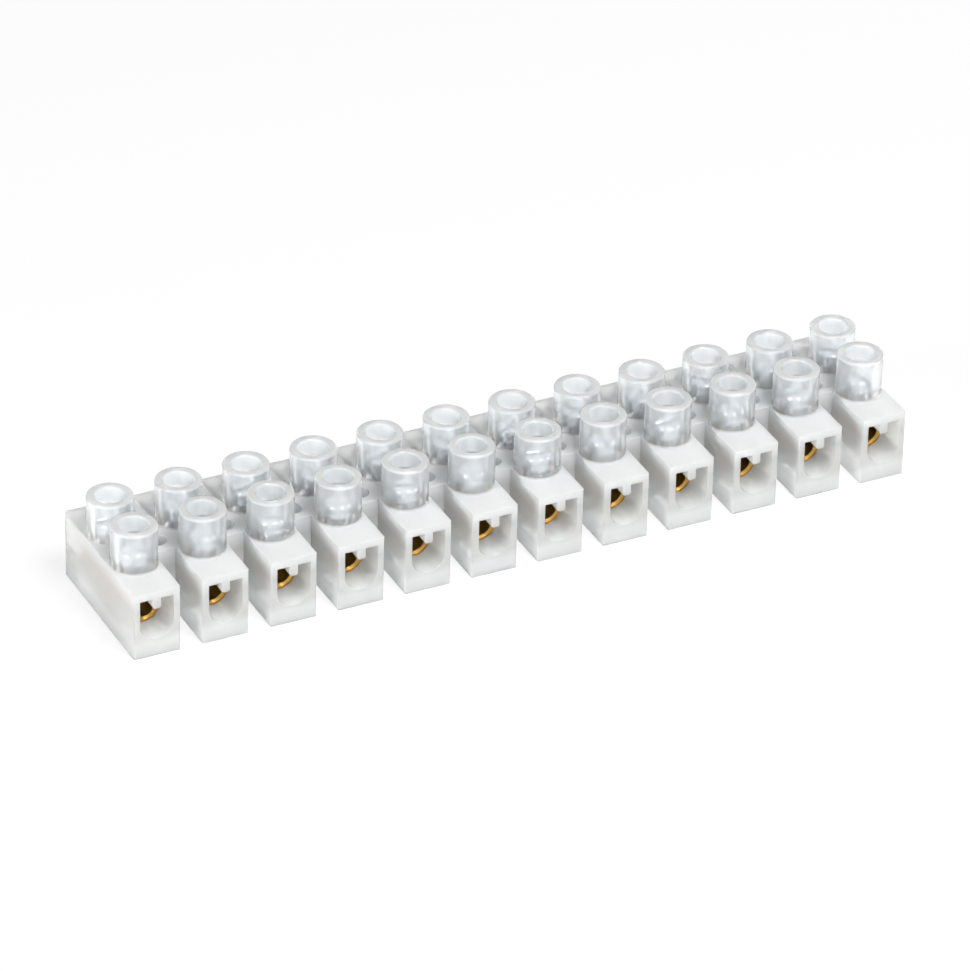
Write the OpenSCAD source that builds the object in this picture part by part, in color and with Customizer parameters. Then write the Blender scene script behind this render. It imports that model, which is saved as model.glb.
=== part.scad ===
// Screw terminal strip: one moulded housing, a brass sleeve in each way and two clamping screws a sleeve.
// X runs along the strip, the wires go in along Y, and Z points up from the mounting face.
// The origin is on the mounting face, in the middle of the strip.

/* [Strip] */
// Number of ways side by side
ways = 12; // [2:1:19]

/* [Brass sleeves] */
// Length of a sleeve
sleeve_l = 14.7; // [12:0.1:20]
// Outside diameter of a sleeve
sleeve_od = 4.6; // [3.8:0.1:6]
// Bore of a sleeve, which takes the wires
sleeve_bore = 3.2; // [2.2:0.1:3.8]
// Chamfer at both mouths of the bore
sleeve_mouth = 0.3; // [0.1:0.05:0.4]
// Chamfer on the outer edge of both ends
sleeve_edge = 0.15; // [0.05:0.05:0.25]

/* [Clamping screws] */
// Diameter of the shank
shank_d = 2.9; // [2:0.1:3.5]
// Chamfer of the shank's tip
tip_chamfer = 0.3; // [0.1:0.05:0.6]
// Diameter of the head
head_d = 3.7; // [3.2:0.1:4.8]
// Height of the head
head_h = 2; // [1.2:0.1:2.8]
// Rounding of the head's upper edge
head_round = 0.4; // [0.1:0.05:0.6]
// Width of the screwdriver slot
slot_w = 0.8; // [0.5:0.1:1.2]
// Depth of the screwdriver slot
slot_depth = 0.9; // [0.5:0.1:1.1]
// Distance between the two screws of a way
screw_spacing = 8.1; // [6.6:0.1:9.8]

/* [Housing] */
// Rounding of the upright corners of a way
corner_round = 0.25; // [0.1:0.05:0.5]
// Thickness of the side walls of a way
side_wall = 0.95; // [0.7:0.05:1.5]
// Thickness of the floor under the lowest line of the wire channel
floor_t = 2.6; // [1.5:0.1:4]
// Thickness of the roof over the wire channel
roof_t = 1.1; // [0.7:0.05:2]
// Depth of the wire entry in front of each end of a sleeve
entry_depth = 4.4; // [3:0.1:7]
// Height of the keel rib that hangs from the roof over the sleeve
rib_h = 1.55; // [0.8:0.05:2.5]
// Width of the keel rib
rib_w = 1.2; // [0.8:0.1:2]
// Radius of the keel rib's two lower corners
rib_round = 0.35; // [0.1:0.05:0.4]

/* [Towers] */
// Height of a tower above the roof
tower_h = 6.2; // [5:0.1:8]
// Wall of a tower
tower_wall = 1.2; // [0.7:0.05:1.6]
// Rounding of the rim, inside and outside
rim_round = 0.3; // [0.1:0.05:0.35]
// Rounding between a tower's foot and the roof
foot_round = 0.25; // [0.1:0.05:0.5]

/* [Webs] */
// Diameter of the fixing hole in each web
fixing_d = 2.8; // [2:0.1:4]
// Material beside the fixing hole, towards the ways
web_edge = 0.2; // [0.1:0.05:1.5]
// Material in front of and behind the fixing hole
web_wall = 1.4; // [0.8:0.1:2.5]

/* [Fits] */
// Room on each side between a sleeve and the channel's walls
sleeve_side_room = 0.15; // [0.05:0.05:0.3]
// Gap between a sleeve and the channel's floor that it lies on
sleeve_seat_gap = 0.02; // [0.01:0.01:0.05]
// Gap between a sleeve and the keel rib above it
rib_gap = 0.13; // [0.05:0.01:0.3]
// Radial running clearance of a shank in its tapped hole
thread_gap = 0.05; // [0.02:0.01:0.08]
// Radial room for a head in its tower
head_room = 0.2; // [0.2:0.05:0.5]
// Clear height between a raised screw's tip and the wire bore
tip_gap = 0.05; // [0.02:0.01:0.2]
// Spare length of a shank, so that its head stays off the sleeve
shank_spare = 0.1; // [0.05:0.05:0.5]

/* [Hidden] */
$fn = 64;
// Overlap of a cut past the surface that it opens
cut = 0.5;

// Sizes across a way
channel_w = sleeve_od + 2 * sleeve_side_room;
way_w = channel_w + 2 * side_wall;
web_w = fixing_d + 2 * web_edge;
pitch = way_w + web_w;
strip_l = ways * way_w + (ways - 1) * web_w;

// Sizes along a way
way_d = sleeve_l + 2 * entry_depth;
web_d = fixing_d + 2 * web_wall;

// Heights above the mounting face
channel_z = floor_t + channel_w / 2;
sleeve_z = floor_t + sleeve_seat_gap + sleeve_od / 2;
rib_z = sleeve_z + sleeve_od / 2 + rib_gap;
ceiling_z = rib_z + rib_h;
way_h = ceiling_z + roof_t;
tower_top_z = way_h + tower_h;
tip_z = sleeve_z + sleeve_bore / 2 + tip_gap;

// Diameters of the towers and the tapped holes, the towers' depth in the roof and the screw's length
tower_bore = head_d + 2 * head_room;
tower_od = tower_bore + 2 * tower_wall;
tower_root = roof_t / 2;
tapped_d = shank_d + 2 * thread_gap;
shank_l = (sleeve_od + sleeve_bore) / 2 + shank_spare;

// Places of the ways, the webs between them and the two screws of a way
way_x = [for (i = [0 : ways - 1]) (i - (ways - 1) / 2) * pitch];
web_x = [for (i = [0 : ways - 2]) (i - (ways - 2) / 2) * pitch];
SIDES = [["front", -screw_spacing / 2], ["back", screw_spacing / 2]];

// Names of the pieces
function number(i) = str(i < 9 ? "0" : "", i + 1);
function sleeve_name(i) = str("sleeve_", number(i));
function screw_name(i, side) = str("screw_", number(i), "_", side[0]);

// Plan of a way, with rounded corners
module way_plan() {
    square([way_w - 2 * corner_round, way_d], center = true);
    square([way_w, way_d - 2 * corner_round], center = true);
    for (x = [-1, 1], y = [-1, 1])
        translate([x * (way_w / 2 - corner_round), y * (way_d / 2 - corner_round)])
            circle(r = corner_round);
}

// Plan of the moulding: the ways, joined by webs, each with its fixing hole
module plan() {
    difference() {
        union() {
            for (x = way_x)
                translate([x, 0])
                    way_plan();
            for (x = web_x)
                translate([x, 0])
                    square([web_w + 2 * side_wall, web_d], center = true);
        }
        for (x = web_x)
            translate([x, 0])
                circle(d = fixing_d);
    }
}

// Section of the keel rib, which hangs from the roof with two rounded corners
module rib_section() {
    rib_top = ceiling_z + cut;
    translate([-rib_w / 2, rib_z + rib_round])
        square([rib_w, rib_top - rib_z - rib_round]);
    translate([-rib_w / 2 + rib_round, rib_z])
        square([rib_w - 2 * rib_round, rib_top - rib_z]);
    for (x = [-1, 1])
        translate([x * (rib_w / 2 - rib_round), rib_z + rib_round])
            circle(r = rib_round);
}

// Section of the wire channel: a round floor, straight sides and a ceiling with the keel rib
module channel_section() {
    difference() {
        union() {
            translate([0, channel_z])
                circle(d = channel_w);
            translate([-channel_w / 2, channel_z])
                square([channel_w, ceiling_z - channel_z]);
        }
        rib_section();
    }
}

// Wire channel right through a way, open at both wire faces
module channel() {
    rotate([90, 0, 0])
        linear_extrude(way_d + 2 * cut, center = true)
            channel_section();
}

// Solid of a tower, rooted in the roof, with a rounded outer rim
module tower() {
    tower_r = tower_od / 2;
    height = tower_h + tower_root;
    translate([0, 0, way_h - tower_root])
        rotate_extrude()
            union() {
                square([tower_r, height - rim_round]);
                square([tower_r - rim_round, height]);
                translate([tower_r - rim_round, height - rim_round])
                    circle(r = rim_round);
            }
}

// Rounded foot of a tower, as far as the sides of its way
module tower_foot() {
    foot_r = tower_od / 2 + foot_round;
    height = tower_root + foot_round;
    translate([0, 0, way_h - tower_root])
        intersection() {
            rotate_extrude()
                difference() {
                    square([foot_r, height]);
                    translate([foot_r, height])
                        circle(r = foot_round);
                }
            translate([-way_w / 2, -foot_r - cut, -cut])
                cube([way_w, 2 * (foot_r + cut), height + 2 * cut]);
        }
}

// Bore of a tower, from the wire channel up to a rounded rim
module tower_cut() {
    bore_r = tower_bore / 2;
    height = tower_top_z - channel_z;
    translate([0, 0, channel_z])
        rotate_extrude()
            union() {
                square([bore_r, height + cut]);
                difference() {
                    translate([0, height - rim_round])
                        square([bore_r + rim_round, rim_round + cut]);
                    translate([bore_r + rim_round, height - rim_round])
                        circle(r = rim_round);
                }
            }
}

// The moulding
module housing() {
    color([0.88, 0.90, 0.91, 0.6])
        difference() {
            union() {
                linear_extrude(way_h)
                    plan();
                for (x = way_x, side = SIDES)
                    translate([x, side[1], 0]) {
                        tower();
                        tower_foot();
                    }
            }
            for (x = way_x)
                translate([x, 0, 0])
                    channel();
            for (x = way_x, side = SIDES)
                translate([x, side[1], 0])
                    tower_cut();
        }
}

// Half section of a sleeve's wall, revolved about the wire axis
module sleeve_section() {
    bore_r = sleeve_bore / 2;
    outer_r = sleeve_od / 2;
    half = sleeve_l / 2;
    polygon([
        [bore_r, -half + sleeve_mouth],
        [bore_r + sleeve_mouth, -half],
        [outer_r - sleeve_edge, -half],
        [outer_r, -half + sleeve_edge],
        [outer_r, half - sleeve_edge],
        [outer_r - sleeve_edge, half],
        [bore_r + sleeve_mouth, half],
        [bore_r, half - sleeve_mouth]
    ]);
}

// Brass sleeve of one way: a tube with two tapped holes on top
module sleeve(i) {
    color([0.78, 0.60, 0.28])
        translate([way_x[i], 0, sleeve_z])
            difference() {
                rotate([90, 0, 0])
                    rotate_extrude()
                        sleeve_section();
                for (side = SIDES)
                    translate([0, side[1], 0])
                        cylinder(d = tapped_d, h = sleeve_od);
            }
}

// Half section of a screw, from its tip up to its rounded head
module screw_section() {
    shank_r = shank_d / 2;
    head_r = head_d / 2;
    top = shank_l + head_h;
    polygon([
        [0, 0],
        [shank_r - tip_chamfer, 0],
        [shank_r, tip_chamfer],
        [shank_r, shank_l],
        [head_r, shank_l],
        [head_r, top - head_round],
        [head_r - head_round, top - head_round],
        [head_r - head_round, top],
        [0, top]
    ]);
    translate([head_r - head_round, top - head_round])
        circle(r = head_round);
}

// Slotted clamping screw, raised until its tip is clear of the wire bore
module screw(i, side) {
    slot_z = shank_l + head_h - slot_depth;
    color([0.75, 0.76, 0.77])
        translate([way_x[i], side[1], tip_z])
            difference() {
                rotate_extrude()
                    screw_section();
                translate([-head_d, -slot_w / 2, slot_z])
                    cube([2 * head_d, slot_w, slot_depth + cut]);
            }
}

housing();
for (i = [0 : ways - 1]) {
    sleeve(i);
    for (side = SIDES)
        screw(i, side);
}
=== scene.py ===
"""Looks of a screw terminal strip: a natural polypropylene moulding, brass sleeves and zinc plated screws."""
import math

import bmesh
import bpy
from mathutils import Matrix, Vector


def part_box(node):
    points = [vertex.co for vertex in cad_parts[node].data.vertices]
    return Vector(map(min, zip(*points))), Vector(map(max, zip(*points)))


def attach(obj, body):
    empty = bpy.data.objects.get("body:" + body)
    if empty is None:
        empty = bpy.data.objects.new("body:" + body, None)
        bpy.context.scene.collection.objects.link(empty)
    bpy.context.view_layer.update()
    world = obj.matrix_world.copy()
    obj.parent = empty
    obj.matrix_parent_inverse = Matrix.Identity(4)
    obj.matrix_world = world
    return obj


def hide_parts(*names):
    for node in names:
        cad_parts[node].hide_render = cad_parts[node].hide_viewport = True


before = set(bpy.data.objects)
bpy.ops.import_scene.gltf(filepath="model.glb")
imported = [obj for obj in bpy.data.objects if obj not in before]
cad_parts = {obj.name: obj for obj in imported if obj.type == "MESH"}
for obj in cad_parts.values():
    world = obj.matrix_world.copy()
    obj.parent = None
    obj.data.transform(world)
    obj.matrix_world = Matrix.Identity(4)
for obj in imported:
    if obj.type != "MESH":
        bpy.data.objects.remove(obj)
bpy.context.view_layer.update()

MM = 0.001

# Camera, matched to the photograph's frame
IMAGE_WIDTH = 970
SENSOR_WIDTH = 36.0
FOCAL_PIXELS = 6943.1
CAMERA_AZIMUTH = math.radians(26.511)
CAMERA_ELEVATION = math.radians(31.926)
CAMERA_ROLL = math.radians(1.359)
CAMERA_DISTANCE = 952.49 * MM
CAMERA_TARGET = Vector((-1.222, -0.75, 6.754)) * MM

# Clamping screw, in the sizes of its plain solid
SHANK_LENGTH = 4.0 * MM
SHANK_RADIUS = 1.45 * MM
TIP_CHAMFER = 0.3 * MM
HEAD_RADIUS = 1.85 * MM
HEAD_HEIGHT = 2.0 * MM
HEAD_ROUND = 0.4 * MM
SLOT_WIDTH = 0.8 * MM
SLOT_DEPTH = 0.9 * MM

# What the plain solid leaves out: the slot's chamfer, the thread, and the neck between thread and head
SLOT_CHAMFER = 0.06 * MM
THREAD_PITCH = 0.5 * MM
THREAD_DEPTH = 0.27 * MM
THREAD_ROOT_SHARE = 1 / 2
THREAD_CREST_SHARE = 1 / 6
NECK_LENGTH = 0.25 * MM

# How finely the screw is drawn, and the degrees from one screw's slot to the next one's
RING_POINTS = 48
RINGS_PER_PITCH = 8
ROUND_STEPS = 5
SHARP_ANGLE = math.radians(38)
SLOT_TURN = 137.5

# Places on the strip that its looks follow
WAY_PITCH = 10.0 * MM
SCREW_SPACING = 8.1 * MM
WIRE_AXIS = 4.92 * MM
WIRE_BORE_RADIUS = 1.6 * MM
WELL_RADIUS = 2.05 * MM
WELL_FLOOR = 13.4 * MM
ROOF_TOP = 10.0 * MM
STRIP_TOP = 16.2 * MM

# How far a look takes to change at such a place
POLISH_BELOW_ROOF = 0.2 * MM
POLISH_ABOVE_ROOF = 0.6 * MM
TOWER_BLEND = 0.4 * MM
WELL_WALL_BLEND = 0.5 * MM
WELL_FLOOR_BLEND = 0.8 * MM
BORE_EDGE_START = 0.02 * MM
BORE_EDGE_END = 0.12 * MM

# Patterns in the surfaces, and how deep the fine ones go
HAZE_SIZE = 6.0 * MM
GRAIN_SIZE = 0.35 * MM
FILM_SIZE = 1.5 * MM
RING_SPACING = 1.57 * MM
BLOOM_SIZE = 0.8 * MM
MARK_DEPTH = 0.01 * MM
# A wave texture of scale 1 runs through this many radians in a metre
WAVE_RADIANS = 20

# Natural polypropylene: its two finishes, and how far light spreads in the milky plastic
BLOCK_ROUGHNESS = 0.2
TOWER_ROUGHNESS = 0.13
PLASTIC_IOR = 1.49
MILK_DEPTH = 2.0 * MM
MILK_SPREAD = (1.0, 0.97, 0.94)

# Share of the light that goes clear through the plastic's skin, by height: least in the thick floor and
# roof, more in the walls, most at the towers' feet, and less again up to their rims
CLEAR_SHARES = (
    (0.0 * MM, 0.35),
    (2.0 * MM, 0.35),
    (3.4 * MM, 0.5),
    (7.4 * MM, 0.5),
    (9.4 * MM, 0.25),
    (ROOF_TOP, 0.25),
    (10.35 * MM, 0.86),
    (11.4 * MM, 0.86),
    (14.4 * MM, 0.7),
    (15.75 * MM, 0.7),
    (16.05 * MM, 0.4),
    (STRIP_TOP, 0.4),
)
# The same share in the upper wells, and for light that leaves the plastic below the roof and in the towers
WELL_SHARE = 0.3
LEAVING_SHARE_BLOCK = 0.7
LEAVING_SHARE_TOWER = 0.98

# Light turns many times inside the clear plastic before it finds its way out
BOUNCES = 96
BOUNCES_IN_PLASTIC = 64
BOUNCES_OFF_MATT = 8

# Strength of the surroundings as a lamp, and where they are seen, mirrored or seen through the plastic
SKY_LAMP = 0.15
SKY_SEEN = 1.0

# Softboxes, all equally far off: name, azimuth and elevation in degrees, edge in metres, power in watts
SOFTBOX_DISTANCE = 0.8
SOFTBOXES = (
    ("softbox_above", 14, 60, 0.3, 5.15),
    ("softbox_right", 75, 25, 0.35, 0.8),
    ("softbox_left", -72, 18, 0.3, 3.0),
)

# White floor in metres, and its own glow to the eye and to the plastic and the metal
FLOOR_HALF = 3.0
FLOOR_LEVEL = -0.05 * MM
FLOOR_GLOW_SEEN = 0.8
FLOOR_GLOW_MIRRORED = 0.35


def linear(code):
    """An sRGB hex colour as linear red, green, blue and alpha."""
    parts = [int(code[i:i + 2], 16) / 255 for i in (1, 3, 5)]
    return [p / 12.92 if p <= 0.04045 else ((p + 0.055) / 1.055) ** 2.4 for p in parts] + [1.0]


def add_node(tree, kind, inputs=None, **settings):
    """Add a shader node with its settings, and set or link its inputs."""
    node = tree.nodes.new("ShaderNode" + kind)
    for name, value in settings.items():
        setattr(node, name, value)
    for socket, value in (inputs or {}).items():
        if isinstance(value, bpy.types.NodeSocket):
            tree.links.new(value, node.inputs[socket])
        else:
            node.inputs[socket].default_value = value
    return node


def new_tree(owner):
    """The emptied node tree of a material or the world."""
    owner.use_nodes = True
    owner.node_tree.nodes.clear()
    return owner.node_tree


def from_way_middle(tree, along):
    """How far a spot lies to the side of its way's middle, worked out from its place along the strip."""
    step = add_node(tree, "Math", {0: along, 1: WAY_PITCH, 2: 0.0}, operation="WRAP")
    return add_node(tree, "Math", {0: step.outputs[0], 1: WAY_PITCH / 2}, operation="SUBTRACT").outputs[0]


def axis_distance(tree, side, other):
    """Distance of a spot from an axis, out of its two offsets square to that axis."""
    offset = add_node(tree, "CombineXYZ", {"X": side, "Y": other})
    return add_node(tree, "VectorMath", {0: offset.outputs[0]}, operation="LENGTH").outputs["Value"]


def clear_share(tree, spot):
    """Share of the light that goes clear through the skin at a spot, by its height and in the wells."""
    level = add_node(tree, "Math", {0: spot.outputs["Z"], 1: STRIP_TOP}, operation="DIVIDE")
    clear = add_node(tree, "ValToRGB", {"Fac": level.outputs[0]})
    stops = clear.color_ramp.elements
    for stop, share in zip(stops, (CLEAR_SHARES[0][1], CLEAR_SHARES[-1][1])):
        stop.color = (share, share, share, 1.0)
    for height, share in CLEAR_SHARES[1:-1]:
        stops.new(height / STRIP_TOP).color = (share, share, share, 1.0)
    # The wells are milkier above the screw heads, and the heads show through the towers' lower half
    depth = add_node(tree, "Math", {0: spot.outputs["Y"]}, operation="ABSOLUTE")
    depth = add_node(tree, "Math", {0: depth.outputs[0], 1: SCREW_SPACING / 2}, operation="SUBTRACT")
    radius = axis_distance(tree, from_way_middle(tree, spot.outputs["X"]), depth.outputs[0])
    outside = add_node(tree, "MapRange", {
        "Value": radius,
        "From Min": WELL_RADIUS,
        "From Max": WELL_RADIUS + WELL_WALL_BLEND,
        "To Min": WELL_SHARE,
    })
    below = add_node(tree, "MapRange", {
        "Value": spot.outputs["Z"],
        "From Min": WELL_FLOOR,
        "From Max": WELL_FLOOR + WELL_FLOOR_BLEND,
        "To Min": 1.0,
        "To Max": 0.0,
    })
    well = add_node(tree, "Math", {0: outside.outputs["Result"], 1: below.outputs["Result"]},
                    operation="MAXIMUM")
    return add_node(tree, "Math", {0: clear.outputs["Color"], 1: well.outputs[0]},
                    operation="MINIMUM").outputs[0]


def natural_polypropylene():
    """Unpigmented moulded polypropylene: milky white where it is thick, and clearer in thin walls."""
    material = bpy.data.materials.new("natural_polypropylene")
    tree = new_tree(material)
    place = add_node(tree, "TexCoord").outputs["Object"]
    spot = add_node(tree, "SeparateXYZ", {"Vector": place})
    haze = add_node(tree, "TexNoise", {"Vector": place, "Scale": 1 / HAZE_SIZE, "Detail": 3.0})
    colour = add_node(tree, "Mix", {0: haze.outputs["Fac"], 6: linear("#EDF2F7"), 7: linear("#F5F9FD")},
                      data_type="RGBA")
    # The mould's fine grain is far below a tenth of a millimetre, and is drawn coarser so that it shows
    grain = add_node(tree, "TexNoise", {"Vector": place, "Scale": 1 / GRAIN_SIZE, "Detail": 2.0})
    bump = add_node(tree, "Bump", {"Height": grain.outputs["Fac"], "Strength": 0.1, "Distance": MARK_DEPTH})
    # The towers come off polished cores, the block off a satin cavity
    polish = add_node(tree, "MapRange", {
        "Value": spot.outputs["Z"],
        "From Min": ROOF_TOP - POLISH_BELOW_ROOF,
        "From Max": ROOF_TOP + POLISH_ABOVE_ROOF,
        "To Min": BLOCK_ROUGHNESS,
        "To Max": TOWER_ROUGHNESS,
    })
    gloss = add_node(tree, "MapRange", {"Value": haze.outputs["Fac"], "To Min": 0.8, "To Max": 1.2})
    gloss = add_node(tree, "Math", {0: polish.outputs["Result"], 1: gloss.outputs["Result"]},
                     operation="MULTIPLY")
    clear = clear_share(tree, spot)
    # Light that is already inside meets a white skin, faintly warm below the roof, and mostly goes on
    inside = add_node(tree, "NewGeometry").outputs["Backfacing"]
    tower = add_node(tree, "MapRange", {
        "Value": spot.outputs["Z"],
        "From Min": ROOF_TOP - TOWER_BLEND,
        "From Max": ROOF_TOP + TOWER_BLEND,
    })
    leaving = add_node(tree, "MapRange", {
        "Value": tower.outputs["Result"],
        "To Min": LEAVING_SHARE_BLOCK,
        "To Max": LEAVING_SHARE_TOWER,
    })
    through = add_node(tree, "Mix", {0: inside, 2: clear, 3: leaving.outputs["Result"]})
    core = add_node(tree, "Mix", {0: tower.outputs["Result"], 6: linear("#FFFBF3"), 7: linear("#FFFFFF")},
                    data_type="RGBA")
    milk = add_node(tree, "Math", {0: 1.0, 1: inside}, operation="SUBTRACT")
    body = add_node(tree, "Mix", {0: inside, 6: colour.outputs[2], 7: core.outputs[2]}, data_type="RGBA")
    surface = add_node(tree, "BsdfPrincipled", {
        "Base Color": body.outputs[2],
        "Roughness": gloss.outputs[0],
        "Normal": bump.outputs["Normal"],
        "IOR": PLASTIC_IOR,
        "Transmission Weight": through.outputs[0],
        "Subsurface Weight": milk.outputs[0],
        "Subsurface Radius": MILK_SPREAD,
        "Subsurface Scale": MILK_DEPTH,
    })
    add_node(tree, "OutputMaterial", {"Surface": surface.outputs["BSDF"]})
    return material


def turned_brass():
    """Free-cutting brass turned from bar: golden ends, faint rings and an olive film in the drilled bore."""
    material = bpy.data.materials.new("turned_brass")
    tree = new_tree(material)
    place = add_node(tree, "TexCoord").outputs["Object"]
    spot = add_node(tree, "SeparateXYZ", {"Vector": place})
    film = add_node(tree, "TexNoise", {"Vector": place, "Scale": 1 / FILM_SIZE, "Detail": 4.0})
    turned = add_node(tree, "Mix", {0: film.outputs["Fac"], 6: linear("#B8863F"), 7: linear("#D0A055")},
                      data_type="RGBA")
    height = add_node(tree, "Math", {0: spot.outputs["Z"], 1: WIRE_AXIS}, operation="SUBTRACT")
    radius = axis_distance(tree, from_way_middle(tree, spot.outputs["X"]), height.outputs[0])
    drilled = add_node(tree, "MapRange", {
        "Value": radius,
        "From Min": WIRE_BORE_RADIUS + BORE_EDGE_START,
        "From Max": WIRE_BORE_RADIUS + BORE_EDGE_END,
        "To Min": 1.0,
        "To Max": 0.0,
    })
    colour = add_node(tree, "Mix", {0: drilled.outputs["Result"], 6: turned.outputs[2], 7: linear("#B59F58")},
                      data_type="RGBA")
    # The tool's feed marks are about 0.1 mm apart, and are drawn coarser
    rings = add_node(tree, "TexWave", {
        "Vector": place,
        "Scale": 2 * math.pi / (WAVE_RADIANS * RING_SPACING),
        "Distortion": 0.4,
    }, bands_direction="Y")
    gloss = add_node(tree, "MapRange", {"Value": film.outputs["Fac"], "To Min": 0.22, "To Max": 0.42})
    bump = add_node(tree, "Bump", {"Height": rings.outputs["Fac"], "Strength": 0.3, "Distance": MARK_DEPTH})
    surface = add_node(tree, "BsdfPrincipled", {
        "Base Color": colour.outputs[2],
        "Metallic": 1.0,
        "Roughness": gloss.outputs["Result"],
        "Normal": bump.outputs["Normal"],
    })
    add_node(tree, "OutputMaterial", {"Surface": surface.outputs["BSDF"]})
    return material


def zinc_plated_steel():
    """Bright zinc plating on steel: a cool silver skin with a faint cloudy bloom."""
    material = bpy.data.materials.new("zinc_plated_steel")
    tree = new_tree(material)
    place = add_node(tree, "TexCoord").outputs["Object"]
    bloom = add_node(tree, "TexNoise", {"Vector": place, "Scale": 1 / BLOOM_SIZE, "Detail": 4.0})
    colour = add_node(tree, "Mix", {0: bloom.outputs["Fac"], 6: linear("#E2E5E7"), 7: linear("#F4F5F5")},
                      data_type="RGBA")
    gloss = add_node(tree, "MapRange", {"Value": bloom.outputs["Fac"], "To Min": 0.12, "To Max": 0.24})
    surface = add_node(tree, "BsdfPrincipled", {
        "Base Color": colour.outputs[2],
        "Metallic": 1.0,
        "Roughness": gloss.outputs["Result"],
    })
    add_node(tree, "OutputMaterial", {"Surface": surface.outputs["BSDF"]})
    return material


def studio_floor():
    """White sweep: white to the eye, and pale with the strip's shade on it to the plastic and the metal."""
    material = bpy.data.materials.new("studio_floor")
    tree = new_tree(material)
    path = add_node(tree, "LightPath")
    mirrored = add_node(tree, "Math", {
        0: path.outputs["Is Glossy Ray"],
        1: path.outputs["Is Transmission Ray"],
    }, operation="MAXIMUM")
    pale = add_node(tree, "BsdfDiffuse", {"Color": linear("#EDEDED")})
    gleam = add_node(tree, "Emission", {"Color": linear("#FFFFFF"), "Strength": FLOOR_GLOW_MIRRORED})
    bright = add_node(tree, "AddShader", {0: pale.outputs[0], 1: gleam.outputs[0]})
    shade = add_node(tree, "BsdfDiffuse", {"Color": linear("#808080")})
    glow = add_node(tree, "Emission", {"Color": linear("#FFFFFF"), "Strength": FLOOR_GLOW_SEEN})
    white = add_node(tree, "AddShader", {0: shade.outputs[0], 1: glow.outputs[0]})
    near = add_node(tree, "MixShader", {0: mirrored.outputs[0], 1: pale.outputs[0], 2: bright.outputs[0]})
    seen = add_node(tree, "MixShader", {
        0: path.outputs["Is Camera Ray"],
        1: near.outputs[0],
        2: white.outputs[0],
    })
    add_node(tree, "OutputMaterial", {"Surface": seen.outputs[0]})
    return material


def as_mesh(shape, name):
    """A mesh of a shape that is drawn point by point."""
    mesh = bpy.data.meshes.new(name)
    shape.to_mesh(mesh)
    shape.free()
    return mesh


def put_object(name, data):
    """A new object in the scene, of a mesh, a lamp or a camera."""
    thing = bpy.data.objects.new(name, data)
    bpy.context.scene.collection.objects.link(thing)
    return thing


def coat(mesh, material):
    """Give a mesh one material."""
    mesh.materials.clear()
    mesh.materials.append(material)


def thread_height(turn):
    """Height of the rolled thread over one pitch: 0 on its flat root, 1 on its flat crest."""
    rise = 1.0 - abs(2.0 * (turn % 1.0) - 1.0)
    flanks = 1.0 - THREAD_ROOT_SHARE - THREAD_CREST_SHARE
    return min(1.0, max(0.0, (rise - THREAD_ROOT_SHARE) / flanks))


def screw_rings():
    """Rings of the screw from its tip up, each as its height, its radius and its share of thread."""
    top = SHANK_LENGTH + HEAD_HEIGHT
    root = SHANK_RADIUS - THREAD_DEPTH
    thread_end = SHANK_LENGTH - NECK_LENGTH
    steps = round((thread_end - TIP_CHAMFER) / THREAD_PITCH * RINGS_PER_PITCH)
    rings = [(0.0, root - TIP_CHAMFER, 0.0)]
    for k in range(steps + 1):
        share = min(1.0, k / RINGS_PER_PITCH, (steps - k) / RINGS_PER_PITCH)
        rings.append((TIP_CHAMFER + (thread_end - TIP_CHAMFER) * k / steps, root, share))
    rings.append((SHANK_LENGTH, root, 0.0))
    rings.append((SHANK_LENGTH, HEAD_RADIUS, 0.0))
    for k in range(ROUND_STEPS + 1):
        turn = math.pi / 2 * k / ROUND_STEPS
        rings.append((top - HEAD_ROUND + HEAD_ROUND * math.sin(turn),
                      HEAD_RADIUS - HEAD_ROUND + HEAD_ROUND * math.cos(turn), 0.0))
    return rings


def screw_blank():
    """Mesh of the screw without its slot, tip at the origin."""
    shape = bmesh.new()
    loops = []
    for height, radius, share in screw_rings():
        loop = []
        for i in range(RING_POINTS):
            turn = i / RING_POINTS
            r = radius + THREAD_DEPTH * share * thread_height(height / THREAD_PITCH - turn)
            angle = 2 * math.pi * turn
            loop.append(shape.verts.new((r * math.cos(angle), r * math.sin(angle), height)))
        loops.append(loop)
    for low, high in zip(loops, loops[1:]):
        for i in range(RING_POINTS):
            j = (i + 1) % RING_POINTS
            shape.faces.new((low[i], low[j], high[j], high[i]))
    shape.faces.new(list(reversed(loops[0])))
    shape.faces.new(loops[-1])
    return as_mesh(shape, "screw_blank")


def slot_cutter():
    """Mesh of the screwdriver slot's space, with a chamfer at its upper edges that runs on past the head."""
    top = SHANK_LENGTH + HEAD_HEIGHT
    half = SLOT_WIDTH / 2
    past = SLOT_DEPTH / 2
    flare = half + SLOT_CHAMFER + past
    reach = 2 * HEAD_RADIUS
    section = [(-half, top - SLOT_DEPTH), (half, top - SLOT_DEPTH), (half, top - SLOT_CHAMFER),
               (flare, top + past), (-flare, top + past), (-half, top - SLOT_CHAMFER)]
    shape = bmesh.new()
    ends = [[shape.verts.new((x, y, z)) for y, z in section] for x in (-reach, reach)]
    for i in range(len(section)):
        j = (i + 1) % len(section)
        shape.faces.new((ends[0][i], ends[0][j], ends[1][j], ends[1][i]))
    shape.faces.new(ends[0])
    shape.faces.new(list(reversed(ends[1])))
    bmesh.ops.recalc_face_normals(shape, faces=shape.faces)
    return as_mesh(shape, "slot_cutter")


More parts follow.
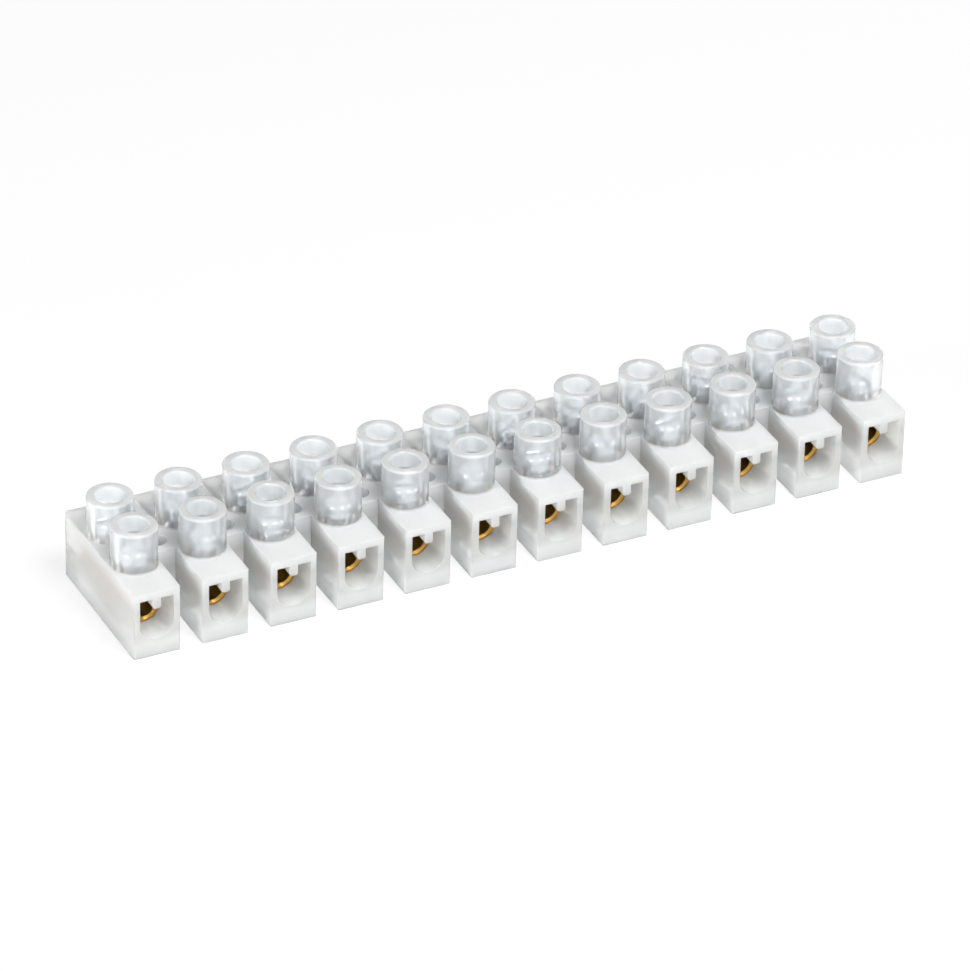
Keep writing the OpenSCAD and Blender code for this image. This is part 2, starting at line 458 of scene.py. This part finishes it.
def slotted_screw():
    """Mesh of the whole screw: the rolled and turned blank with its slot cut."""
    blank = put_object("screw_blank", screw_blank())
    cutter = put_object("slot_cutter", slot_cutter())
    cut = blank.modifiers.new("slot", "BOOLEAN")
    cut.operation = "DIFFERENCE"
    cut.solver = "EXACT"
    cut.object = cutter
    graph = bpy.context.evaluated_depsgraph_get()
    mesh = bpy.data.meshes.new_from_object(blank.evaluated_get(graph))
    for helper in (blank, cutter):
        bpy.data.objects.remove(helper)
    mesh.polygons.foreach_set("use_smooth", [True] * len(mesh.polygons))
    mesh.set_sharp_from_angle(angle=SHARP_ANGLE)
    return mesh


def put_screws(steel):
    """Put a threaded screw in the place of each plain one, its slot left at some angle."""
    pattern = slotted_screw()
    names = sorted(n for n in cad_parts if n.startswith("screw_"))
    for k, node in enumerate(names):
        low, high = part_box(node)
        mesh = pattern.copy()
        turned = Matrix.Rotation(math.radians(SLOT_TURN * k), 4, "Z")
        mesh.transform(Matrix.Translation(((low.x + high.x) / 2, (low.y + high.y) / 2, low.z)) @ turned)
        coat(mesh, steel)
        screw = put_object(f"threaded_{node}", mesh)
        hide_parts(node)
        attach(screw, node)
    bpy.data.meshes.remove(pattern)


def put_floor():
    """A wide white floor under the strip."""
    shape = bmesh.new()
    corners = [(-FLOOR_HALF, -FLOOR_HALF), (FLOOR_HALF, -FLOOR_HALF),
               (FLOOR_HALF, FLOOR_HALF), (-FLOOR_HALF, FLOOR_HALF)]
    shape.faces.new([shape.verts.new((x, y, FLOOR_LEVEL)) for x, y in corners])
    mesh = as_mesh(shape, "floor")
    coat(mesh, studio_floor())
    floor = put_object("floor", mesh)


def put_lamp(name, azimuth, elevation, size, power):
    """A square softbox that faces the strip. Azimuth 0 is in front, and positive is to the right."""
    lamp = bpy.data.lights.new(name, "AREA")
    lamp.shape = "SQUARE"
    lamp.size = size
    lamp.energy = power
    holder = put_object(name, lamp)
    a, e = math.radians(azimuth), math.radians(elevation)
    away = Vector((math.sin(a) * math.cos(e), -math.cos(a) * math.cos(e), math.sin(e)))
    holder.location = away * SOFTBOX_DISTANCE
    holder.rotation_euler = away.to_track_quat("Z", "Y").to_euler()


def light_studio():
    """White surroundings with a softbox above in front and one low down on each side."""
    world = bpy.data.worlds.new("studio")
    bpy.context.scene.world = world
    tree = new_tree(world)
    path = add_node(tree, "LightPath")
    seen = add_node(tree, "Math", {0: path.outputs["Is Camera Ray"], 1: path.outputs["Is Glossy Ray"]},
                    operation="MAXIMUM")
    seen = add_node(tree, "Math", {0: seen.outputs[0], 1: path.outputs["Is Transmission Ray"]},
                    operation="MAXIMUM")
    strength = add_node(tree, "MapRange", {"Value": seen.outputs[0], "To Min": SKY_LAMP, "To Max": SKY_SEEN})
    sky = add_node(tree, "Background", {"Color": linear("#FFFFFF"), "Strength": strength.outputs["Result"]})
    add_node(tree, "OutputWorld", {"Surface": sky.outputs["Background"]})
    paths = bpy.context.scene.cycles
    paths.max_bounces = BOUNCES
    paths.glossy_bounces = BOUNCES_IN_PLASTIC
    paths.transmission_bounces = BOUNCES_IN_PLASTIC
    paths.diffuse_bounces = BOUNCES_OFF_MATT
    for softbox in SOFTBOXES:
        put_lamp(*softbox)


def put_camera():
    """The photograph's point of view."""
    a, e = CAMERA_AZIMUTH, CAMERA_ELEVATION
    ahead = Vector((math.sin(a) * math.cos(e), math.cos(a) * math.cos(e), -math.sin(e)))
    right = Vector((math.cos(a), -math.sin(a), 0.0))
    up = right.cross(ahead)
    c, s = math.cos(CAMERA_ROLL), math.sin(CAMERA_ROLL)
    right, up = c * right + s * up, c * up - s * right
    lens = bpy.data.cameras.new("camera")
    lens.sensor_fit = "HORIZONTAL"
    lens.sensor_width = SENSOR_WIDTH
    lens.lens = FOCAL_PIXELS / IMAGE_WIDTH * SENSOR_WIDTH
    camera = put_object("camera", lens)
    turn = Matrix((right, up, -ahead)).transposed()
    camera.matrix_world = Matrix.Translation(CAMERA_TARGET - ahead * CAMERA_DISTANCE) @ turn.to_4x4()
    bpy.context.scene.camera = camera


put_camera()
light_studio()
put_floor()
coat(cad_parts["housing"].data, natural_polypropylene())
brass = turned_brass()
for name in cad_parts:
    if name.startswith("sleeve_"):
        coat(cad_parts[name].data, brass)
put_screws(zinc_plated_steel())
bpy.context.scene.view_settings.view_transform = "Standard"
